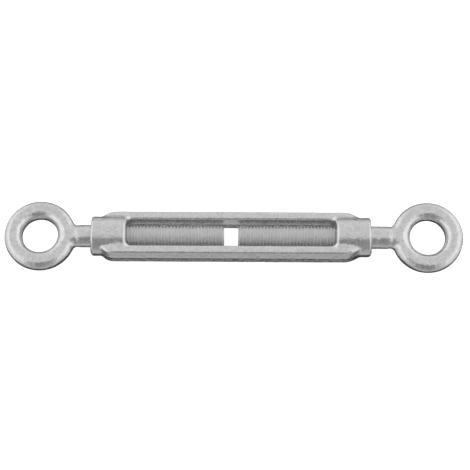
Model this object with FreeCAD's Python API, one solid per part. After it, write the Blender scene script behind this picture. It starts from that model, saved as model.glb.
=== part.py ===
import FreeCAD, Part
import math
import os
from FreeCAD import Vector

# Rigging turnbuckle, eye and eye: a forged open body and two eye bolts.
# Units are millimetres. X runs along the screws, the body lies flat in XY, +Z is up.
# The origin is the middle of the body, on the screws' common axis.

# --- Body forging -----------------------------------------------------------
body_length = 125.0          # over the outer faces of the two hubs
hub_diameter = 17.6
hub_length = 16.2
hub_outer_rounding = 1.1
hub_inner_rounding = 1.5
rail_gap = 12.9              # between the rails' inner faces, at the parting line
rail_width = 4.5             # across one rail, at the parting line
rail_depth = 9.2             # the rails' thickness along Z
rail_rounding = 0.8
nose_radius = 10.5           # plan curve that brings each rail's end down to the hub
nose_start = 12.5            # from a hub's outer face to where the rails reach full width
nose_sink = 0.8              # how far below the hub's surface the rails' ends stop
window_corner_radius = 2.6
forging_draft = 3.5          # degrees, on the faces that leave the two dies

# --- Screw thread, shared by bolts and hubs ----------------------------------
thread_diameter = 10.0
thread_pitch = 1.5
flank_angle = 30.0           # degrees, half of the thread's included angle
thread_clearance = 0.12      # between the facing flanks, measured square to them
crest_clearance = 0.2        # between a crest and the root it faces, along the radius
crest_flat = 0.1             # taken off the bolt's crests, along the radius
countersink_depth = 2.0      # at both ends of a tapped hole, at 45 degrees
tap_margin = 0.1             # how far the tap's root stands inside the plain hole
overrun = 1.0                # how far a cutting tool runs past the faces it cuts through
pitch_depth = 0.6495         # ISO metric: pitch diameter below the full diameter, in pitches
root_depth = 0.6134          # ISO metric: a bolt's root below the full radius, in pitches

# --- Eye bolts ---------------------------------------------------------------
eye_hole_diameter = 16.0
eye_bar_width = 7.9          # across the ring's bar, along the eye's radius
eye_bar_depth = 7.9          # the ring's thickness, along the hole
eye_bar_rounding = 3.2
neck_rounding = 0.5
taper_sink = 0.2             # how far below the ring's flat sides the neck's taper ends
thread_length = 58.6
neck_engagement = 0.8        # how far the neck's end stands in the hub's countersink
tip_chamfer = 0.9
left_neck_reach = 22.9       # from the left eye's centre to the left hub's outer face
right_neck_reach = 25.3
left_eye_roll = 11.0         # degrees about +X from the body's plane
right_eye_roll = 16.0

# --- Shank cores: stand-ins that carry each bolt's sliding motion -------------
core_diameter = 3.0
core_length = 50.0
core_clearance = 0.05        # along the radius and at the blind end

# --- Sizes that follow ---------------------------------------------------------
half_length = body_length / 2
hub_radius = hub_diameter / 2
window_half_length = half_length - hub_length
gap_half = rail_gap / 2
rail_half_depth = rail_depth / 2
draft_inset = rail_half_depth * math.tan(math.radians(forging_draft))
nose_end_y = math.sqrt(hub_radius ** 2 - rail_half_depth ** 2) - nose_sink
flank_slope = math.tan(math.radians(flank_angle))
pitch_radius = (thread_diameter - pitch_depth * thread_pitch) / 2
bolt_crest_radius = thread_diameter / 2 - crest_flat
bolt_root_radius = thread_diameter / 2 - root_depth * thread_pitch
hub_thread_root_radius = bolt_crest_radius + crest_clearance
hub_thread_crest_radius = bolt_root_radius + crest_clearance
flank_gap = thread_clearance / math.cos(math.radians(flank_angle))
neck_radius = thread_diameter / 2
shoulder_x = half_length - neck_engagement
tip_x = shoulder_x - thread_length
close = 0.01                 # how near an edge must lie to a plane to count as lying in it


def ridge_half_width(radius, added):
    """Half the width of a thread ridge at a radius, made wider or thinner by a clearance."""
    return thread_pitch / 4 - (radius - pitch_radius) * flank_slope + added


def along_x(shape):
    """Turn a shape that was made along +Z so that it lies along +X."""
    shape.rotate(Vector(0, 0, 0), Vector(0, 1, 0), 90)
    return shape


def rod(start, end, radius):
    """A plain round bar on the X axis."""
    return along_x(Part.makeCylinder(radius, end - start)).translated(Vector(start, 0, 0))


def cone(start, end, start_radius, end_radius):
    """A cone frustum on the X axis."""
    return along_x(Part.makeCone(start_radius, end_radius, end - start)).translated(Vector(start, 0, 0))


def helix(radius, height, left_hand):
    """One turn of a helix about Z, which starts at this height."""
    turn = Part.makeHelix(thread_pitch, thread_pitch, radius, 0, left_hand)
    turn.translate(Vector(0, 0, height))
    return turn.Edges[0]


def thread_bar(start, end, root, crest, added, left_hand):
    """A threaded bar on the X axis, from start to end.

    Its ridge crosses the same ray at every whole number of pitches from the origin,
    so a bolt and a hub made from the same pitch are in mesh where they stand.
    """
    root_half = ridge_half_width(root, added)
    crest_half = ridge_half_width(crest, added)
    profile = [(root, -root_half), (crest, -crest_half), (crest, crest_half)]
    profile += [(root, root_half), (root, thread_pitch - root_half)]
    first = math.floor(start / thread_pitch) - 1
    turns = math.ceil((end - start) / thread_pitch) + 3
    faces = []
    for turn in range(turns):
        base = (first + turn) * thread_pitch
        edges = [helix(radius, base + height, left_hand) for radius, height in profile]
        faces += [Part.makeRuledSurface(low, high) for low, high in zip(edges, edges[1:])]
    for base in (first * thread_pitch, (first + turns) * thread_pitch):
        low = base - root_half
        high = low + thread_pitch
        axis = Part.makeLine(Vector(0, 0, low), Vector(0, 0, high))
        faces.append(Part.makeRuledSurface(helix(root, low, left_hand), axis))
        outline = [Vector(0, 0, low)]
        outline += [Vector(radius, 0, base + height) for radius, height in profile]
        outline += [Vector(0, 0, high), Vector(0, 0, low)]
        faces.append(Part.Face(Part.makePolygon(outline)))
    shell = Part.makeShell(faces)
    shell.sewShape()
    bar = Part.makeSolid(shell)
    if bar.Volume < 0:
        bar.reverse()
    return along_x(bar).common(rod(start, end, crest + overrun))


def body_outline(inset):
    """Plan outline of the two rails and of the web that ties them inside the hubs."""
    half_width = gap_half + rail_width - inset
    radius = nose_radius - inset
    straight = half_length - nose_start
    sweep = math.acos(1 - (half_width - nose_end_y) / radius)

    def on_nose(x_side, y_side, share):
        angle = share * sweep
        x = straight + radius * math.sin(angle)
        y = half_width - radius * (1 - math.cos(angle))
        return Vector(x_side * x, y_side * y, 0)

    edges = []
    for side in (1, -1):
        edges.append(Part.makeLine(on_nose(-side, side, 0), on_nose(side, side, 0)))
        nose = [on_nose(side, side, share) for share in (0, 0.5, 1)]
        edges.append(Part.Arc(*nose).toShape())
        far_nose = [on_nose(side, -side, share) for share in (1, 0.5, 0)]
        edges.append(Part.makeLine(nose[2], far_nose[0]))
        edges.append(Part.Arc(*far_nose).toShape())
    return Part.Wire(edges)


def window_outline(inset):
    """Plan outline of the opening between the rails, with rounded corners."""
    half_x = window_half_length + inset
    half_y = gap_half + inset
    radius = window_corner_radius + inset
    bulge = radius * (1 - math.sqrt(0.5))
    edges = []
    corners = ((1, 1), (1, -1), (-1, -1), (-1, 1))
    for number, (x_side, y_side) in enumerate(corners):
        next_x, next_y = corners[(number + 1) % 4]
        along_y = Vector(x_side * half_x, y_side * (half_y - radius), 0)
        along_x_edge = Vector(x_side * (half_x - radius), y_side * half_y, 0)
        middle = Vector(x_side * (half_x - bulge), y_side * (half_y - bulge), 0)
        turns_to_y = x_side * y_side > 0
        first, last = (along_x_edge, along_y) if turns_to_y else (along_y, along_x_edge)
        edges.append(Part.Arc(first, middle, last).toShape())
        if turns_to_y:
            following = Vector(next_x * half_x, next_y * (half_y - radius), 0)
        else:
            following = Vector(next_x * (half_x - radius), next_y * half_y, 0)
        edges.append(Part.makeLine(last, following))
    return Part.Wire(edges)


def between_dies(outline):
    """A slab forged between two dies, which part at Z = 0. Its sides lean with the draft from there."""
    parting = outline(0.0)
    halves = []
    for side in (1, -1):
        face = outline(draft_inset)
        face.translate(Vector(0, 0, side * rail_half_depth))
        halves.append(Part.makeLoft([parting, face], True, True))
    return halves[0].fuse(halves[1])


def rails():
    """Both rails in one slab with the window between them, and their long edges rounded."""
    slab = between_dies(body_outline).cut(between_dies(window_outline))
    long_edges = []
    for edge in slab.Edges:
        box = edge.BoundBox
        if box.ZLength < close and abs(box.ZMin) > rail_half_depth / 2:
            long_edges.append(edge)
    return slab.makeFillet(rail_rounding, long_edges)


def hub_blank():
    """The right-hand hub: a round boss with rounded rims, before it is bored."""
    blank = rod(window_half_length, half_length, hub_radius)
    outer_rim = [edge for edge in blank.Edges if edge.BoundBox.XMin > half_length - close]
    blank = blank.makeFillet(hub_outer_rounding, outer_rim)
    inner_rim = [edge for edge in blank.Edges if edge.BoundBox.XMax < window_half_length + close]
    return blank.makeFillet(hub_inner_rounding, inner_rim)


def mirrored(shape, side):
    """The shape itself on the right (side 1), or its mirror image on the left (side -1)."""
    if side > 0:
        return shape
    return shape.mirror(Vector(0, 0, 0), Vector(1, 0, 0))


def hub_hole(side, left_hand):
    """What a hub's tapped hole and its two countersinks take away.

    Drill and tap run on into the window, so that they clear its rounded corners.
    """
    inner = window_half_length
    reach = inner - window_corner_radius
    outer = half_length
    plain = hub_thread_crest_radius
    mouth = plain + countersink_depth
    hole = rod(reach, outer + overrun, plain)
    inner_mouth = cone(inner, inner + countersink_depth, mouth, plain)
    outer_mouth = cone(outer - countersink_depth, outer, plain, mouth)
    ends = sorted((side * reach, side * (outer + overrun)))
    tap = thread_bar(*ends, plain - tap_margin, hub_thread_root_radius, flank_gap / 2, left_hand)
    return [mirrored(hole, side), mirrored(inner_mouth, side), mirrored(outer_mouth, side), tap]


def turnbuckle_body():
    """The forging: two rails and two hubs in one, bored and tapped from both ends."""
    blank = rails().fuse([mirrored(hub_blank(), 1), mirrored(hub_blank(), -1)])
    for side, left_hand in ((-1, False), (1, True)):
        for cutter in hub_hole(side, left_hand):
            blank = blank.cut(cutter)
    return blank


def eye_ring():
    """The ring about the origin with its hole along Z: a bar with rounded corners bent to a circle."""
    hole_radius = eye_hole_diameter / 2
    low = Vector(0, 0, -eye_bar_depth / 2)
    disc = Part.makeCylinder(hole_radius + eye_bar_width, eye_bar_depth, low)
    ring = disc.cut(Part.makeCylinder(hole_radius, eye_bar_depth, low))
    rims = [edge for edge in ring.Edges if edge.BoundBox.ZLength < close]
    return ring.makeFillet(eye_bar_rounding, rims)


def neck(start, end):
    """The plain shank between the thread and the eye, with its shoulder rounded."""
    bar = rod(start, end, neck_radius)
    shoulder = [edge for edge in bar.Edges if edge.BoundBox.XMax < start + close]
    return bar.makeFillet(neck_rounding, shoulder)


def eye_bolt(side, neck_reach, roll, left_hand):
    """One forged bolt: eye, neck and thread in one piece, with the bore for its shank core."""
    eye_x = half_length + neck_reach
    rim_x = eye_x - eye_hole_diameter / 2 - eye_bar_width
    bar_x = rim_x + eye_bar_width / 2
    ring = eye_ring()
    ring.rotate(Vector(0, 0, 0), Vector(1, 0, 0), roll)
    ring.translate(Vector(eye_x, 0, 0))
    taper = cone(rim_x, bar_x, neck_radius, eye_bar_depth / 2 - taper_sink)
    head = mirrored(ring.fuse([neck(shoulder_x, rim_x), taper]), side)
    ends = sorted((side * tip_x, side * shoulder_x))
    thread = thread_bar(*ends, bolt_root_radius, bolt_crest_radius, -flank_gap / 2, left_hand)
    tip_radius = bolt_crest_radius - tip_chamfer
    tip_cone = cone(tip_x, tip_x + thread_length, tip_radius, tip_radius + thread_length)
    thread = thread.common(mirrored(tip_cone, side))
    bore_radius = core_diameter / 2 + core_clearance
    bore = rod(tip_x - overrun, tip_x + core_length + core_clearance, bore_radius)
    return head.fuse(thread).cut(mirrored(bore, side))


def shank_core(side):
    """The round bar inside a bolt's thread, which slides with the bolt and doesn't turn."""
    return mirrored(rod(tip_x, tip_x + core_length, core_diameter / 2), side)


parts = {
    "turnbuckle_body": turnbuckle_body(),
    "left_eye_bolt": eye_bolt(-1, left_neck_reach, left_eye_roll, False),
    "right_eye_bolt": eye_bolt(1, right_neck_reach, right_eye_roll, True),
    "left_shank_core": shank_core(-1),
    "right_shank_core": shank_core(1),
}
os.makedirs("parts", exist_ok=True)
for name, shape in parts.items():
    shape.exportStep("parts/" + name + ".step")
    print(name, len(shape.Solids), "solid,", round(shape.Volume), "mm3")
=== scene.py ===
import math

import bmesh
import bpy
import numpy as np
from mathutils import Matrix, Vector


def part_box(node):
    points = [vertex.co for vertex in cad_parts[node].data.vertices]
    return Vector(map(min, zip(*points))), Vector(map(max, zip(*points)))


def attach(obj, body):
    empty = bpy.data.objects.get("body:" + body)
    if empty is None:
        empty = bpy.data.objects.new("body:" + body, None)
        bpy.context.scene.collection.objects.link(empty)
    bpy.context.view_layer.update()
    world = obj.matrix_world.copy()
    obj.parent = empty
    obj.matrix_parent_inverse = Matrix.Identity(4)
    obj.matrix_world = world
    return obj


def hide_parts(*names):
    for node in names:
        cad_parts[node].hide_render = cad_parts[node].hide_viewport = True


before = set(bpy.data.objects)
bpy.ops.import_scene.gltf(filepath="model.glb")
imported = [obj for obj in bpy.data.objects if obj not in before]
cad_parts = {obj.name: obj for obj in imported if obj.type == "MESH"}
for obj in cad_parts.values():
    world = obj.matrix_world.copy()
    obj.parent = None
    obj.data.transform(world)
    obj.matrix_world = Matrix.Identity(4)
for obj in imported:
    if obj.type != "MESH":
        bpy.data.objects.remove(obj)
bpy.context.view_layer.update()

import openvdb
from mathutils import Quaternion, Vector, noise


# --- The open body --------------------------------------------------------------------------------
# One steel drop forging: two round hubs joined by two straight rails. It is struck between two dies
# that part on the flat of the body, so every face leans a little and a seam runs all the way round.
# Each hub is drilled and tapped right through, and the whole body is galvanised.

mm = 0.001
body_low, body_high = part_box("turnbuckle_body")
half_length = body_high.x
hub_radius = body_high.z
rail_outer = body_high.y
rail_inner = 6.45 * mm
rail_half_depth = 4.6 * mm
hub_length = 16.2 * mm
rail_edge_radius = 1.1 * mm
hub_outer_rim = 1.1 * mm
hub_inner_rim = 1.6 * mm
nose_radii = {"left_front": 6.0 * mm, "left_back": 9.0 * mm, "right": 10.5 * mm}
nose_starts = {"left_front": 10.0 * mm, "left_back": 11.5 * mm, "right": 12.5 * mm}
inner_fillet = 2.3 * mm
outer_fillet = 0.8 * mm
outer_fillet_start = 11.0 * mm
fillet_change_length = 5.0 * mm
rail_draft = math.tan(math.radians(3.5))
hub_draft = math.tan(math.radians(2.5))
seam_height = 0.05 * mm
seam_width = 0.5 * mm
nick_place = (-54.7 * mm, -1.4 * mm)
nick_depth = 0.12 * mm
nick_stroke = (0.3 * mm, 1.1 * mm)
nick_lean = 0.6
forging_grid = 0.34 * mm
settling_steps = 3
smoothing_rounds = 3
swell_length = 7.0 * mm
swell_height = 0.05 * mm
grain_length = 1.6 * mm
grain_height = 0.018 * mm
sharp_angle = math.radians(38)


def round_join(first, second, radius):
    """Both bodies together, with a fillet of this radius where they meet."""
    gap = np.sqrt(np.maximum(radius - first, 0) ** 2 + np.maximum(radius - second, 0) ** 2)
    return np.maximum(radius, np.minimum(first, second)) - gap


def round_edge(first, second, radius):
    """What is inside both surfaces, with the edge between them rounded."""
    return -round_join(-first, -second, radius)


def seam(height):
    """The low ridge that the parting of the dies leaves round a forging."""
    return seam_height * np.exp(-(height / seam_width) ** 2)


def nick(x, y, z):
    """A small knock on top of the left hub: two short strokes that cross."""
    from_x, from_y = x - nick_place[0], y - nick_place[1]
    stroke_width, stroke_length = nick_stroke
    depth = 0.0
    for lean in (-nick_lean, nick_lean):
        beside = from_x - lean * from_y
        depth = depth + nick_depth * np.exp(-(beside / stroke_width) ** 2 - (from_y / stroke_length) ** 2)
    return np.where(z > 0, depth, 0.0)


def body_field(x, y, z):
    """How far a point stands outside the forging's skin. Negative inside."""
    along, across, height = np.abs(x), np.abs(y), np.abs(z)
    nose_radius, nose_start = (
        np.where(x > 0, sizes["right"], np.where(y < 0, sizes["left_front"], sizes["left_back"]))
        for sizes in (nose_radii, nose_starts))
    lean = hub_draft * height
    barrel = np.hypot(across, height) - hub_radius
    outer_face = along - (half_length - lean)
    inner_face = (half_length - hub_length + lean) - along
    hub = round_edge(round_edge(barrel, outer_face, hub_outer_rim), inner_face, hub_inner_rim)
    draft = rail_draft * height
    straight = half_length - nose_start
    nose_x = along - straight
    nose_y = across - (rail_outer - draft - nose_radius)
    plan = np.hypot(np.maximum(nose_x, 0), np.maximum(nose_y, 0)) - nose_radius
    plan = plan + np.minimum(np.maximum(nose_x, nose_y), 0)
    rail = round_edge(plan, height - rail_half_depth, rail_edge_radius)
    rail = round_edge(rail, rail_inner + draft - across, rail_edge_radius)
    endwards = np.clip((along - (half_length - outer_fillet_start)) / fillet_change_length, 0, 1)
    fillet = inner_fillet + (outer_fillet - inner_fillet) * endwards
    return round_join(hub, rail, fillet) - seam(z) + nick(x, y, z)


def skin_normals(field, points):
    """The direction in which the field grows fastest, and its size, by small steps each way."""
    step = 0.01 * mm
    least_slope = 0.2
    slopes = []
    for axis in range(3):
        shift = np.zeros(3)
        shift[axis] = step
        ahead = field(*(points + shift).T)
        behind = field(*(points - shift).T)
        slopes.append((ahead - behind) / (2 * step))
    slope = np.stack(slopes, axis=1)
    size = np.maximum(np.linalg.norm(slope, axis=1, keepdims=True), least_slope)
    return slope / size, size[:, 0]


def settle(field, points):
    """Move points on to the skin, where the field is zero."""
    for _ in range(settling_steps):
        normal, size = skin_normals(field, points)
        points = points - normal * (field(*points.T) / size)[:, None]
    return points


def neighbour_middle(points, edges):
    """The middle of each point's neighbours."""
    total = np.zeros_like(points)
    count = np.zeros(len(points))
    for near, far in ((0, 1), (1, 0)):
        np.add.at(total, edges[:, near], points[edges[:, far]])
        np.add.at(count, edges[:, near], 1)
    return total / count[:, None]


def unevenness(point):
    """How far a forging's skin stands off its true shape: long swells, and a finer grain on them."""
    finer_each_layer = 2.0
    layers = 2
    swell = noise.fractal(Vector(point) / swell_length, 1.0, finer_each_layer, layers)
    grain = noise.fractal(Vector(point) / grain_length, 0.8, finer_each_layer, layers)
    return swell_height * swell + grain_height * grain


def face_outwards(mesh_in_work, mesh):
    """Turn all faces outwards and put the worked shape back into its mesh."""
    bmesh.ops.recalc_face_normals(mesh_in_work, faces=mesh_in_work.faces)
    mesh_in_work.to_mesh(mesh)
    mesh_in_work.free()


def forge(name, field, low, high, grid):
    """A closed mesh of a field's skin, with a forging's slight unevenness."""
    margin = 4 * grid
    band = 3.0
    rows = [np.arange(a - margin, b + margin + grid, grid) for a, b in zip(low, high)]
    values = field(*np.meshgrid(*rows, indexing="ij")) / grid
    volume = openvdb.FloatGrid(band)
    volume.copyFromArray(np.clip(values, -band, band).astype(np.float32))
    points, quads = volume.convertToQuads(0.0)
    points = points.astype(float) * grid + np.array([row[0] for row in rows])
    mesh = bpy.data.meshes.new(name)
    mesh.from_pydata(points.tolist(), [], quads.tolist())
    edges = np.empty(len(mesh.edges) * 2, int)
    mesh.edges.foreach_get("vertices", edges)
    edges = edges.reshape(-1, 2)
    for _ in range(smoothing_rounds):
        points = settle(field, 0.5 * (points + neighbour_middle(points, edges)))
    normal, _ = skin_normals(field, points)
    lift = np.array([unevenness(point) for point in points])
    mesh.vertices.foreach_set("co", (points + normal * lift[:, None]).ravel())
    mesh.update()
    work = bmesh.new()
    work.from_mesh(mesh)
    face_outwards(work, mesh)
    piece = bpy.data.objects.new(name, mesh)
    bpy.context.scene.collection.objects.link(piece)
    return piece


def link_in(tree, kind, inputs, output=0, **settings):
    """Add a node, set it, feed its inputs, and give back one of its outputs."""
    node = tree.nodes.new(kind)
    for key, value in settings.items():
        setattr(node, key, value)
    for key, value in inputs.items():
        if isinstance(value, bpy.types.NodeSocket):
            tree.links.new(value, node.inputs[key])
        else:
            node.inputs[key].default_value = value
    return node.outputs[output]


# A coarse 10 mm thread of 1.5 mm pitch, tapped in the hubs and rolled on the bolts. One helical strip
# of the thread's own section, wound turn on turn, makes both; its ends are then cut square. A half
# width is that of the outer flat, and a start is how far from its middle the inner flat begins.

pitch = 1.5 * mm
hub_crest = 4.28 * mm
hub_root = 5.1 * mm
hub_crest_start = 0.58 * mm
hub_root_half_width = 0.11 * mm
countersink = 2.0 * mm
past_face = 1.0 * mm
weld_distance = 0.002 * mm
steps_round = 48
steps_along = 16


def thread_tree():
    """Geometry nodes that wind a strip of thread section along a helix about X."""
    tree = bpy.data.node_groups.new("Screw thread", "GeometryNodeTree")
    sizes = ("Start", "Pitch", "Outer Radius", "Outer Half Width", "Inner Radius", "Inner Start",
             "Hand", "Tip", "Tip Radius", "First Mouth", "Second Mouth", "Mouth Radius")
    for size in sizes:
        tree.interface.new_socket(size, in_out="INPUT", socket_type="NodeSocketFloat")
    tree.interface.new_socket("Turns", in_out="INPUT", socket_type="NodeSocketInt")
    tree.interface.new_socket("Finish", in_out="INPUT", socket_type="NodeSocketMaterial")
    tree.interface.new_socket("Thread", in_out="OUTPUT", socket_type="NodeSocketGeometry")
    given = tree.nodes.new("NodeGroupInput").outputs

    def maths(operation, first, second=0.0, third=0.0):
        return link_in(tree, "ShaderNodeMath", {0: first, 1: second, 2: third}, operation=operation)

    # A flat strip: the angle round the screw runs along X, the place in one pitch along Y.
    angle_span = maths("MULTIPLY", given["Turns"], math.tau)
    columns = maths("MULTIPLY_ADD", given["Turns"], float(steps_round), 1.0)
    strip = link_in(tree, "GeometryNodeMeshGrid", {
        "Size X": angle_span, "Size Y": given["Pitch"],
        "Vertices X": columns, "Vertices Y": steps_along + 1})
    place = link_in(tree, "GeometryNodeInputPosition", {})
    flat = tree.nodes.new("ShaderNodeSeparateXYZ")
    tree.links.new(place, flat.inputs[0])
    angle = maths("MULTIPLY_ADD", angle_span, 0.5, flat.outputs["X"])
    offset = flat.outputs["Y"]
    travelled = maths("MULTIPLY", angle, maths("DIVIDE", given["Pitch"], math.tau))
    along = maths("ADD", maths("ADD", travelled, offset), given["Start"])

    # The radius there: the thread's section, a bolt's chamfered tip, or a hole's countersunk mouths.
    section = link_in(tree, "ShaderNodeMapRange", {
        "Value": maths("ABSOLUTE", offset),
        "From Min": given["Outer Half Width"], "From Max": given["Inner Start"],
        "To Min": given["Outer Radius"], "To Max": given["Inner Radius"]})
    from_tip = maths("ABSOLUTE", maths("SUBTRACT", along, given["Tip"]))
    radius = maths("MINIMUM", section, maths("ADD", from_tip, given["Tip Radius"]))
    for mouth in ("First Mouth", "Second Mouth"):
        depth = maths("ABSOLUTE", maths("SUBTRACT", along, given[mouth]))
        radius = maths("MAXIMUM", radius, maths("SUBTRACT", given["Mouth Radius"], depth))

    turned = maths("MULTIPLY", angle, given["Hand"])
    across = maths("MULTIPLY", radius, maths("COSINE", turned))
    height = maths("MULTIPLY", radius, maths("SINE", turned))
    wound = link_in(tree, "ShaderNodeCombineXYZ", {"X": along, "Y": across, "Z": height})
    strip = link_in(tree, "GeometryNodeSetPosition", {"Geometry": strip, "Position": wound})
    strip = link_in(tree, "GeometryNodeMergeByDistance", {"Geometry": strip, "Distance": weld_distance})
    strip = link_in(tree, "GeometryNodeRealizeInstances", {"Geometry": strip})
    strip = link_in(tree, "GeometryNodeSetMaterial", {"Geometry": strip, "Material": given["Finish"]})
    result = tree.nodes.new("NodeGroupOutput")
    tree.links.new(strip, result.inputs[0])
    return tree


thread_nodes = thread_tree()


def plain_mesh(piece):
    """The piece's shape with its modifiers worked in, as a mesh of its own."""
    seen = piece.evaluated_get(bpy.context.evaluated_depsgraph_get())
    return bpy.data.meshes.new_from_object(seen)


def threaded_bar(name, low, high, sizes, finish):
    """A closed threaded bar on the X axis, cut square at its two ends."""
    cut_tolerance = 1e-7
    rim_tolerance = 1e-6
    bar = bpy.data.objects.new(name, bpy.data.meshes.new(name))
    bpy.context.scene.collection.objects.link(bar)
    winding = bar.modifiers.new("Screw thread", "NODES")
    winding.node_group = thread_nodes
    first = math.floor(low / pitch) - 1
    turns = math.ceil(high / pitch) + 1 - first
    values = dict(sizes)
    values.update({"Start": first * pitch, "Turns": turns, "Pitch": pitch, "Finish": finish})
    for item in thread_nodes.interface.items_tree:
        if item.in_out == "INPUT":
            winding[item.identifier] = values[item.name]
    mesh = plain_mesh(bar)
    bar.modifiers.remove(winding)
    work = bmesh.new()
    work.from_mesh(mesh)
    for place, outwards in ((low, (-1, 0, 0)), (high, (1, 0, 0))):
        everything = work.verts[:] + work.edges[:] + work.faces[:]
        bmesh.ops.bisect_plane(work, geom=everything, dist=cut_tolerance, plane_co=(place, 0, 0),
                               plane_no=outwards, clear_outer=True)
        rim = [edge for edge in work.edges
               if edge.is_boundary and all(abs(vert.co.x - place) < rim_tolerance for vert in edge.verts)]
        bmesh.ops.edgeloop_fill(work, edges=rim)
    face_outwards(work, mesh)
    bar.data = mesh
    return bar


def combine(piece, other, operation):
    """Join another closed solid to the piece, or cut it away, and keep one closed mesh."""
    solver = piece.modifiers.new("Combine", "BOOLEAN")
    solver.operation = operation
    solver.solver = "MANIFOLD"
    solver.material_mode = "TRANSFER"
    solver.object = other
    mesh = plain_mesh(piece)
    piece.modifiers.remove(solver)
    piece.data = mesh
    bpy.data.objects.remove(other)
    mesh.shade_smooth()
    mesh.set_sharp_from_angle(angle=sharp_angle)


def zinc(name, dark, light, metallic, roughness, seed, pebble):
    """A dull zinc coat between two greys: cloudy and grainy in colour, grainy in gloss, and pebbled."""
    cloud_scale = 380.0
    grain_scale = 900.0
    grain_in_colour = 0.6
    pebble_height = 0.08 * mm
    wave_height = 0.32 * mm
    wave_strength = 0.7
    coat = bpy.data.materials.new(name)
    coat.use_nodes = True
    tree = coat.node_tree
    shader = tree.nodes["Principled BSDF"]
    shader.inputs["Metallic"].default_value = metallic
    where = link_in(tree, "ShaderNodeTexCoord", {}, output="Object")
    placed = link_in(tree, "ShaderNodeMapping", {"Vector": where, "Location": (seed, 0.0, 0.0)})
    clouds = link_in(tree, "ShaderNodeTexNoise", {
        "Vector": placed, "Scale": cloud_scale, "Detail": 3.0, "Roughness": 0.55})
    grain = link_in(tree, "ShaderNodeTexNoise", {
        "Vector": placed, "Scale": grain_scale, "Detail": 2.0, "Roughness": 0.55})
    cloud_share = link_in(tree, "ShaderNodeMapRange", {"Value": clouds, "From Min": 0.35, "From Max": 0.65})
    grain_share = link_in(tree, "ShaderNodeMapRange", {"Value": grain, "From Min": 0.32, "From Max": 0.68})
    # A Mix node's numbers are its inputs 2 and 3, and its colours are inputs 6 and 7.
    share = link_in(tree, "ShaderNodeMix", {0: grain_in_colour, 2: cloud_share, 3: grain_share})
    greys = {6: (dark, dark, dark, 1.0), 7: (light, light, light, 1.0)}
    colour = link_in(tree, "ShaderNodeMix", {0: share, **greys}, output=2, data_type="RGBA")
    tree.links.new(colour, shader.inputs["Base Color"])
    gloss = link_in(tree, "ShaderNodeMapRange", {
        "Value": grain, "From Min": 0.3, "From Max": 0.7,
        "To Min": roughness - 0.06, "To Max": roughness + 0.10})
    tree.links.new(gloss, shader.inputs["Roughness"])
    pebbles = link_in(tree, "ShaderNodeBump", {
        "Height": grain, "Strength": pebble, "Distance": pebble_height})
    waves = link_in(tree, "ShaderNodeBump", {
        "Height": clouds, "Normal": pebbles, "Strength": wave_strength, "Distance": wave_height})
    tree.links.new(waves, shader.inputs["Normal"])
    return coat


forged_zinc = zinc(
    "forged_zinc", dark=0.68, light=0.88, metallic=1.0, roughness=0.25, seed=0.0, pebble=0.6)
tapped_zinc = zinc(
    "tapped_zinc", dark=0.60, light=0.78, metallic=1.0, roughness=0.30, seed=0.7, pebble=0.1)

open_body = forge("open_body", body_field, body_low, body_high, forging_grid)
open_body.data.materials.append(forged_zinc)
hub_inner = half_length - hub_length
# The left hub has a right-hand thread, hand 1, and the right hub a left-hand one, hand -1. A hole has
# no chamfered tip, so its tip radius is larger than any thread's.
for side, hand in ((-1, 1.0), (1, -1.0)):
    ends = sorted((side * (hub_inner - past_face), side * (half_length + past_face)))
    tap_sizes = {
        "Outer Radius": hub_root, "Outer Half Width": hub_root_half_width,
        "Inner Radius": hub_crest, "Inner Start": hub_crest_start,
        "Hand": hand, "Tip": 0.0, "Tip Radius": 1.0,
        "First Mouth": side * hub_inner, "Second Mouth": side * half_length,
        "Mouth Radius": hub_crest + countersink,
    }
    combine(open_body, threaded_bar("tap", *ends, tap_sizes, tapped_zinc), "DIFFERENCE")
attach(open_body, "body")
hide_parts("turnbuckle_body")


# --- The two eye bolts ----------------------------------------------------------------------------
# Each is forged in one: a closed eye, a plain neck, and a shank with the thread rolled on it. The
# left one has the right-hand thread and the right one the left-hand thread, on a longer neck.
# Forged eye and neck carry the same rough zinc as the body, the thread a smoother, duller one.

eye_bar_radius = 11.95 * mm
eye_bar_half = 3.95 * mm
eye_rounding = 3.4 * mm
neck_radius = 5.0 * mm
neck_fillet = 2.0 * mm
neck_taper = 6.5 * mm
neck_sink = 0.15 * mm
eye_seam_share = 0.7
shoulder = half_length - 0.8 * mm
shoulder_rounding = 0.5 * mm
bolt_crest = 4.9 * mm
bolt_root = 4.2 * mm
bolt_crest_half_width = 0.10 * mm
bolt_root_start = 0.52 * mm
tip_chamfer = 0.9 * mm
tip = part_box("right_shank_core")[0].x
shank_grid = 0.3 * mm
rolled_zinc = zinc(
    "rolled_zinc", dark=0.70, light=0.80, metallic=0.65, roughness=0.40, seed=1.3, pebble=0.08)


def bolt_field(side, eye_x, roll):
    """The field of one bolt's eye and neck."""

    def field(x, y, z):
        along = side * x
        across = y * math.cos(roll) + z * math.sin(roll)
        height = z * math.cos(roll) - y * math.sin(roll)
        from_bar = np.abs(np.hypot(along - eye_x, across) - eye_bar_radius)
        ring_across = from_bar - (eye_bar_half - eye_rounding)
        ring_height = np.abs(height) - (eye_bar_half - eye_rounding)
        ring = np.hypot(np.maximum(ring_across, 0), np.maximum(ring_height, 0)) - eye_rounding
        ring = ring + np.minimum(np.maximum(ring_across, ring_height), 0)
        share = np.clip((along - (eye_x - eye_bar_radius)) / neck_taper + 1, 0, 1)
        smooth_share = share * share * (3 - 2 * share)
        radius = neck_radius - (neck_radius - eye_bar_half + neck_sink) * smooth_share
        bar = round_edge(np.hypot(y, z) - radius, shoulder - along, shoulder_rounding)
        bar = np.maximum(bar, along - (eye_x - eye_bar_radius))
        return round_join(ring, bar, neck_fillet) - eye_seam_share * seam(height)

    return field


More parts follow.
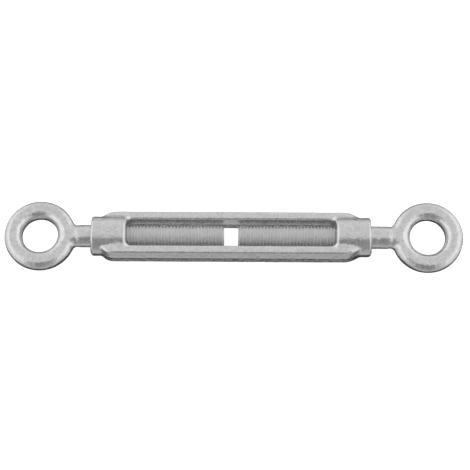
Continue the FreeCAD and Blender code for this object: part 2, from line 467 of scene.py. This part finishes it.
# A bolt has no countersunk mouths, so their radius is nothing.
for end, side, hand, roll_degrees in (("left", -1, 1.0, 11.0), ("right", 1, -1.0, 16.0)):
    low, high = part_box(end + "_eye_bolt")
    far_end = max(side * low.x, side * high.x)
    eye_x = far_end - eye_bar_radius - eye_bar_half
    if side > 0:
        low.x = shoulder
    else:
        high.x = -shoulder
    field = bolt_field(side, eye_x, math.radians(roll_degrees))
    bolt = forge(end + "_eye_screw", field, low, high, shank_grid)
    bolt.data.materials.append(forged_zinc)
    ends = sorted((side * tip, side * (shoulder + past_face)))
    bar_sizes = {
        "Outer Radius": bolt_crest, "Outer Half Width": bolt_crest_half_width,
        "Inner Radius": bolt_root, "Inner Start": bolt_root_start,
        "Hand": hand, "Tip": side * tip, "Tip Radius": bolt_crest - tip_chamfer,
        "First Mouth": 0.0, "Second Mouth": 0.0, "Mouth Radius": 0.0,
    }
    combine(bolt, threaded_bar("rolled_thread", *ends, bar_sizes, rolled_zinc), "UNION")
    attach(bolt, end + "_screw")
    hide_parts(end + "_eye_bolt", end + "_shank_core")


# --- The table ------------------------------------------------------------------------------------
# A plain white table top that the turnbuckle lies on. It glows evenly, as a lit white sheet does,
# and isn't reflected in the metal, whose undersides stay dark.

table_half = 3.0
table_top = body_low.z
table_white = (0.9, 0.9, 0.9, 1.0)
table_roughness = 0.9
table_glow = 0.75
table_mesh = bpy.data.meshes.new("table")
corners = [(x * table_half, y * table_half, table_top) for x, y in ((-1, -1), (1, -1), (1, 1), (-1, 1))]
table_mesh.from_pydata(corners, [], [(0, 1, 2, 3)])
table = bpy.data.objects.new("table", table_mesh)
bpy.context.scene.collection.objects.link(table)
white = bpy.data.materials.new("white_table")
white.use_nodes = True
paint = white.node_tree.nodes["Principled BSDF"]
paint.inputs["Base Color"].default_value = table_white
paint.inputs["Roughness"].default_value = table_roughness
paint.inputs["Emission Color"].default_value = (1.0, 1.0, 1.0, 1.0)
paint.inputs["Emission Strength"].default_value = table_glow
table_mesh.materials.append(white)
table.visible_glossy = False


# --- The room's light -----------------------------------------------------------------------------
# A bright, even room: one large soft light overhead and behind, and one at each end. It is darker in
# front, apart from a soft strip low down, and there is almost no light from straight below.

# How bright the room is round the long axis: degrees up from the front horizon, then brightness.
round_axis = ((-180, 0.50), (-160, 0.28), (-135, 0.07), (-84, 0.02), (-70, 0.05), (-58, 0.46), (-38, 0.54),
              (-16, 0.32), (0, 0.30), (30, 0.25), (52, 0.26), (60, 0.70), (80, 0.67), (110, 0.64),
              (150, 0.76), (172, 0.66), (180, 0.50))
# How bright the two ends of the room are, by height: sine of the height, then brightness.
end_walls = ((-1.0, 0.05), (-0.55, 0.30), (-0.25, 0.95), (0.0, 0.60), (0.3, 1.02), (1.0, 1.02))
# How far sideways the view must point for the end walls to begin, and to fill it.
end_wall_start = 0.3
end_wall_full = 0.65


def ramp(tree, value, low, high, stops):
    """Grey levels laid out along a range of values."""
    share = link_in(tree, "ShaderNodeMapRange", {"Value": value, "From Min": low, "From Max": high})
    node = tree.nodes.new("ShaderNodeValToRGB")
    tree.links.new(share, node.inputs[0])
    marks = node.color_ramp.elements
    while len(marks) < len(stops):
        marks.new(0.5)
    for mark, (place, level) in zip(marks, stops):
        mark.position = (place - low) / (high - low)
        mark.color = (level, level, level, 1.0)
    return node.outputs[0]


world = bpy.data.worlds.new("room")
world.use_nodes = True
room = world.node_tree
facing = link_in(room, "ShaderNodeTexCoord", {}, output="Generated")
split = room.nodes.new("ShaderNodeSeparateXYZ")
room.links.new(facing, split.inputs[0])
forwards = link_in(room, "ShaderNodeMath", {0: split.outputs["Y"], 1: -1.0}, operation="MULTIPLY")
turn = link_in(room, "ShaderNodeMath", {0: split.outputs["Z"], 1: forwards}, operation="ARCTAN2")
level = ramp(room, turn, -math.pi, math.pi, [(math.radians(place), grey) for place, grey in round_axis])
ends_level = ramp(room, split.outputs["Z"], -1.0, 1.0, end_walls)
sideways = link_in(room, "ShaderNodeMath", {0: split.outputs["X"]}, operation="ABSOLUTE")
end_share = link_in(room, "ShaderNodeMapRange", {
    "Value": sideways, "From Min": end_wall_start, "From Max": end_wall_full})
mixed = link_in(room, "ShaderNodeMix", {0: end_share, 6: level, 7: ends_level}, output=2, data_type="RGBA")
room.links.new(mixed, room.nodes["Background"].inputs["Color"])
bpy.context.scene.world = world
bpy.context.scene.view_settings.view_transform = "Standard"


# --- The camera -----------------------------------------------------------------------------------
# It stands in front, 0.62 m from the turnbuckle, and looks down at it at 60 degrees. It is turned by
# 0.3 degrees, so that the body lies very slightly out of level.

view_distance = 0.62
view_elevation = math.radians(60.0)
view_roll = math.radians(0.30)
view_width = 0.2105
aim = Vector((1.73 * mm, 0.98 * mm, 0.0))
camera_data = bpy.data.cameras.new("camera")
camera_data.sensor_width = 36.0
camera_data.lens = camera_data.sensor_width * view_distance / view_width
camera = bpy.data.objects.new("camera", camera_data)
to_camera = Vector((0.0, -math.cos(view_elevation), math.sin(view_elevation)))
camera.location = aim + to_camera * view_distance
facing_aim = to_camera.to_track_quat("Z", "Y")
camera.rotation_euler = (facing_aim @ Quaternion((0.0, 0.0, 1.0), view_roll)).to_euler()
bpy.context.scene.collection.objects.link(camera)
bpy.context.scene.camera = camera
